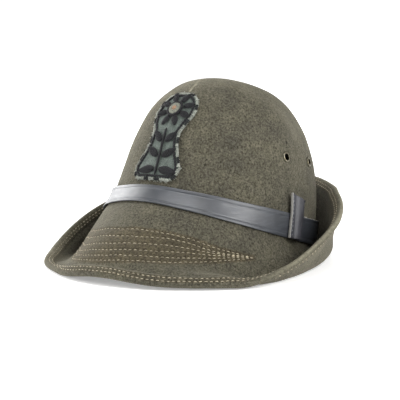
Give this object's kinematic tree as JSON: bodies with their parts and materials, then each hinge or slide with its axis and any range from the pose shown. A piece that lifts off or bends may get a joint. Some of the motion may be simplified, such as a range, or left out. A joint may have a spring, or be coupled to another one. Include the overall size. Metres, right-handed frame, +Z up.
{
  "type": "alpine hat",
  "caption": "Felt hat with a tall round crown, a peak in front, a turned-up back, a leather band with a feather sleeve and an embroidered badge.",
  "frame": {"origin": "on the surface the hat rests on, under the middle of the whole hat", "axes": "+Z up, the front of the hat (its peak) towards -Y, the wearer's left (the side with the feather sleeve) towards +X"},
  "size_m": [0.2582, 0.2892, 0.1576],
  "materials": {
    "felt": "matte wool felt",
    "leather": "smooth satin leather",
    "badge_cloth": "woven cloth",
    "thread": "satin-stitched thread",
    "boss_thread": "couched thread",
    "eyelet_metal": "dull nickelled brass"
  },
  "bodies": {
    "root": {"felt_body": "felt", "hat_band": "leather", "feather_sleeve": "leather", "badge_cloth": "badge_cloth", "badge_boss": "boss_thread", "badge_stem": "thread", "badge_petal_1": "thread", "badge_petal_2": "thread", "badge_petal_3": "thread", "badge_petal_4": "thread", "badge_petal_5": "thread", "badge_petal_6": "thread", "badge_petal_7": "thread", "badge_petal_8": "thread", "badge_leaf_low_left": "thread", "badge_leaf_low_right": "thread", "badge_leaf_middle_left": "thread", "badge_leaf_middle_right": "thread", "badge_leaf_high_left": "thread", "badge_leaf_high_right": "thread", "vent_left_front": "eyelet_metal", "vent_right_front": "eyelet_metal", "vent_left_back": "eyelet_metal", "vent_right_back": "eyelet_metal"}
  },
  "joints": []
}
